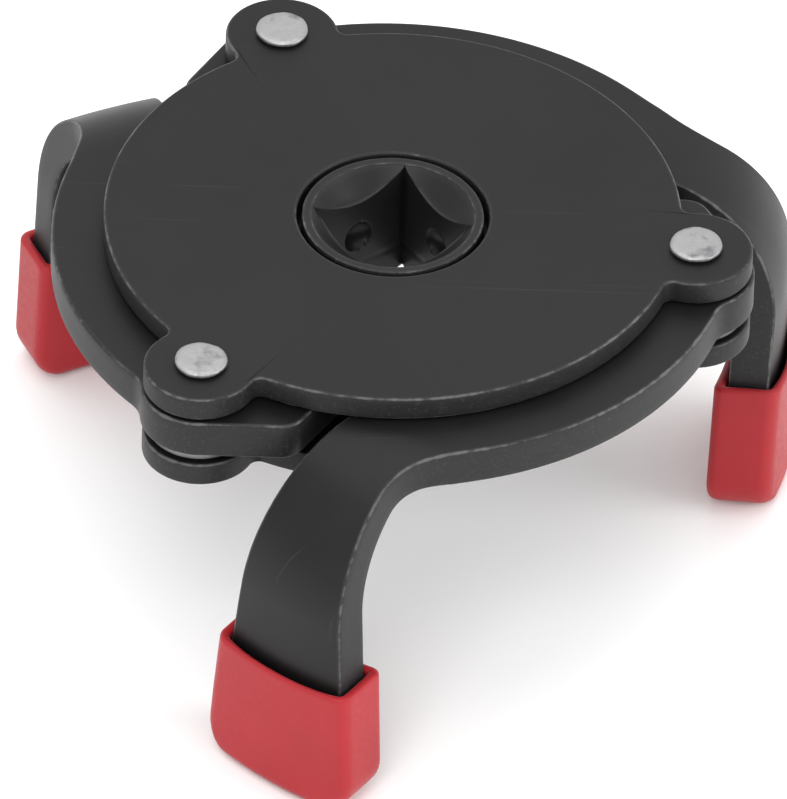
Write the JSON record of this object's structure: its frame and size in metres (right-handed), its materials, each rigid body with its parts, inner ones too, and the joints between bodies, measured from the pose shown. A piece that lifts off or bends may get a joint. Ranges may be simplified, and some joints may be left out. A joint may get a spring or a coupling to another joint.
{
  "type": "oil filter wrench",
  "caption": "Geared oil filter wrench: a square-drive gear between two lobed plates swings curved arms whose bent jaws wear dipped rubber grips.",
  "frame": {"origin": "on the drive axis, at the height of the tool's centre of mass", "axes": "+Z along the drive axis, out of the socket's upper mouth; the jaws point to -Z; +X lies 7.4 degrees anticlockwise of the first pivot rivet"},
  "size_m": [0.0922, 0.0926, 0.0476],
  "materials": {
    "plate_coating": "satin black coating on pressed steel",
    "gear_coating": "black coating, worn at the socket's edges",
    "arm_coating": "satin black coating on pressed steel, smoother on the bends",
    "grip_rubber": "red dipped rubber, soft sheen",
    "rivet_steel": "bare rivet heads, hammer marks",
    "washer_steel": "plain steel"
  },
  "bodies": {
    "housing": {"top_plate": "plate_coating", "bottom_plate": "plate_coating", "pivot_rivet_1": "rivet_steel", "pivot_rivet_2": "rivet_steel", "pivot_rivet_3": "rivet_steel", "arm_washer_1": "washer_steel", "arm_washer_2": "washer_steel", "arm_washer_3": "washer_steel"},
    "drive": {"drive_gear": "gear_coating"},
    "jaw_1": {"arm_1": "arm_coating", "grip_sleeve_1": "grip_rubber"},
    "jaw_2": {"arm_2": "arm_coating", "grip_sleeve_2": "grip_rubber"},
    "jaw_3": {"arm_3": "arm_coating", "grip_sleeve_3": "grip_rubber"}
  },
  "joints": [
    {"name": "drive_turn", "type": "hinge", "parent": "housing", "child": "drive", "pos_m": [0, 0, 0], "axis": [0, 0, 1], "range_deg": [-37.8, 2.8]},
    {"name": "jaw_1_swing", "type": "hinge", "parent": "housing", "child": "jaw_1", "pos_m": [0.03511, -0.00456, 0], "axis": [0, 0, 1], "range_deg": [-2.1, 27.1]},
    {"name": "jaw_2_swing", "type": "hinge", "parent": "housing", "child": "jaw_2", "pos_m": [-0.0136, 0.03268, 0], "axis": [0, 0, 1], "range_deg": [-2.1, 27.1]},
    {"name": "jaw_3_swing", "type": "hinge", "parent": "housing", "child": "jaw_3", "pos_m": [-0.0215, -0.02812, 0], "axis": [0, 0, 1], "range_deg": [-2.1, 27.1]}
  ],
  "couplings": [
    {"joint": "jaw_1_swing", "follows": "drive_turn", "ratio": -0.71429},
    {"joint": "jaw_2_swing", "follows": "drive_turn", "ratio": -0.71429},
    {"joint": "jaw_3_swing", "follows": "drive_turn", "ratio": -0.71429}
  ]
}
